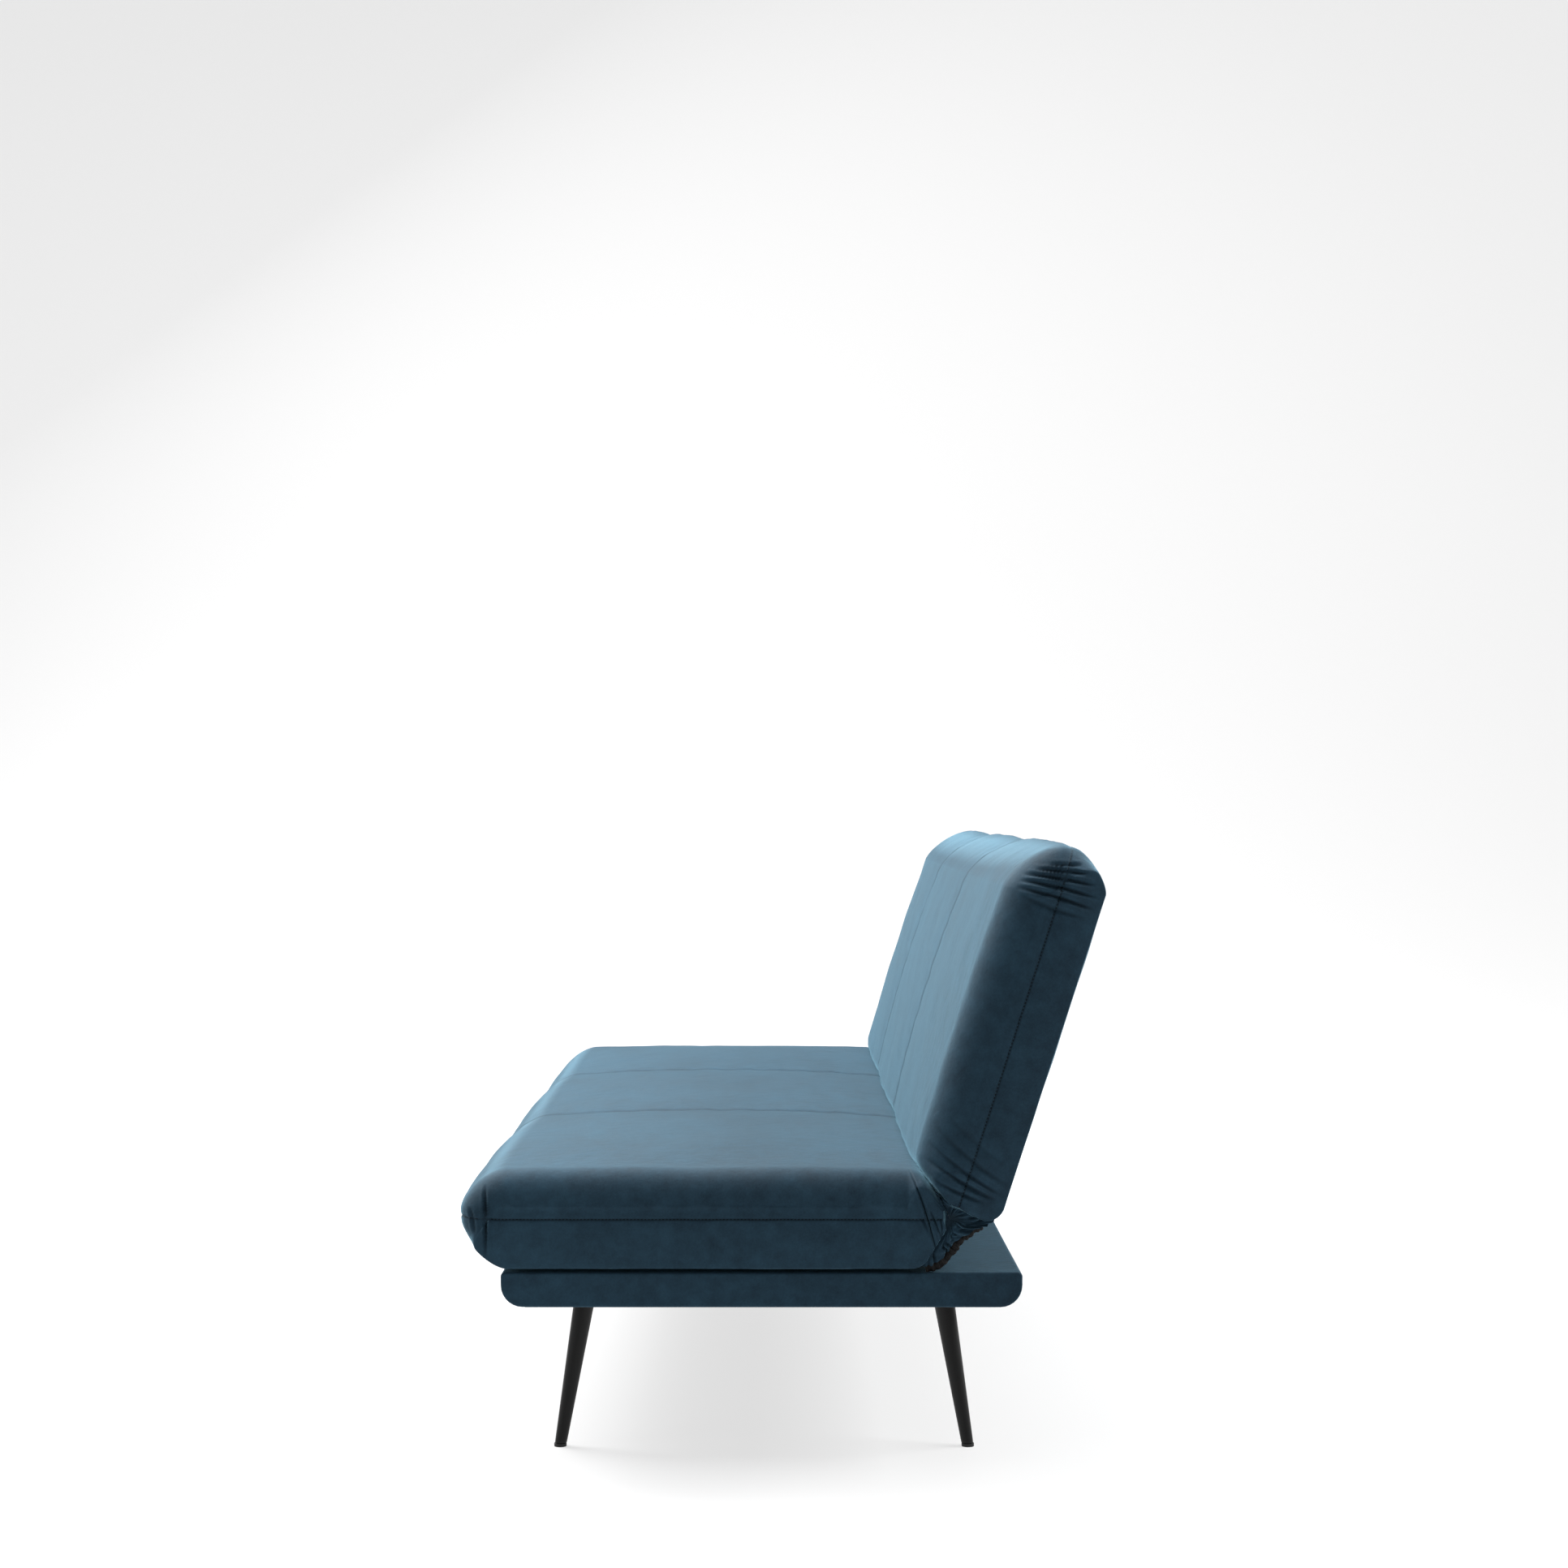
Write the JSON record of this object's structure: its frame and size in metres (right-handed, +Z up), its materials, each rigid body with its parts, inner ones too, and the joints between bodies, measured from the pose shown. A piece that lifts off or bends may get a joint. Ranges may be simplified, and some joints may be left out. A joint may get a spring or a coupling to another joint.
{
  "type": "click-clack sofa bed",
  "caption": "Armless padded sofa on a slab base and splayed tapered legs; the seat draws forward and the channelled back reclines flat to make a bed.",
  "frame": {"origin": "on the floor, under the middle of the whole sofa", "axes": "+X along the length, -Y to the front, +Z up"},
  "size_m": [1.8, 0.8429, 0.8077],
  "materials": {
    "velvet": "cut-pile velvet, petrol blue",
    "foam": "open-cell foam",
    "lining": "black spun lining",
    "gusset": "gathered velvet with black elastic",
    "timber": "sawn pine and plywood",
    "slat": "bent birch ply",
    "leg_paint": "satin black powder coat",
    "glide_plastic": "moulded black",
    "cap_plastic": "moulded black",
    "zinc_steel": "zinc plated"
  },
  "bodies": {
    "base": {"base_front_rail": "timber", "base_rear_rail": "timber", "base_left_rail": "timber", "base_right_rail": "timber", "base_cross_rails": "timber", "leg_blocks": "timber", "base_deck": "timber", "base_cover": "velvet", "base_dust_cover": "lining", "leg_front_left": "leg_paint", "leg_front_right": "leg_paint", "leg_rear_left": "leg_paint", "leg_rear_right": "leg_paint", "leg_plate_front_left": "leg_paint", "leg_plate_front_right": "leg_paint", "leg_plate_rear_left": "leg_paint", "leg_plate_rear_right": "leg_paint", "leg_screws": "zinc_steel", "foot_glide_front_left": "glide_plastic", "foot_glide_front_right": "glide_plastic", "foot_glide_rear_left": "glide_plastic", "foot_glide_rear_right": "glide_plastic", "runner_channel_left": "zinc_steel", "runner_channel_right": "zinc_steel", "glide_strips": "cap_plastic"},
    "seat": {"runner_rail_left": "zinc_steel", "runner_rail_right": "zinc_steel", "seat_front_rail": "timber", "seat_rear_rail": "timber", "seat_left_rail": "timber", "seat_right_rail": "timber", "seat_cross_rails": "timber", "seat_slats": "slat", "seat_slat_caps": "cap_plastic", "seat_foam": "foam", "seat_cover_top": "velvet", "seat_cover_bottom": "velvet", "seat_underside": "lining", "seat_plate_left": "zinc_steel", "seat_plate_right": "zinc_steel", "pawl_left": "zinc_steel", "pawl_right": "zinc_steel", "pivot_bolts": "zinc_steel", "pawl_pins": "zinc_steel", "pawl_springs": "zinc_steel", "seat_plate_bolts": "zinc_steel", "crease_gusset": "gusset"},
    "back": {"back_top_rail": "timber", "back_bottom_rail": "timber", "back_left_rail": "timber", "back_right_rail": "timber", "back_slats": "slat", "back_slat_caps": "cap_plastic", "back_foam": "foam", "back_cover_front": "velvet", "back_cover_rear": "velvet", "back_plate_left": "zinc_steel", "back_plate_right": "zinc_steel", "back_plate_bolts": "zinc_steel"}
  },
  "joints": [
    {"name": "seat_slide", "type": "slide", "parent": "base", "child": "seat", "axis": [0, -1, 0], "range_m": [0, 0.185]},
    {"name": "back_recline", "type": "hinge", "parent": "seat", "child": "back", "pos_m": [0, 0.2215, 0.32], "axis": [-1, 0, 0], "range_deg": [0, 72], "deforming": ["crease_gusset"]}
  ]
}
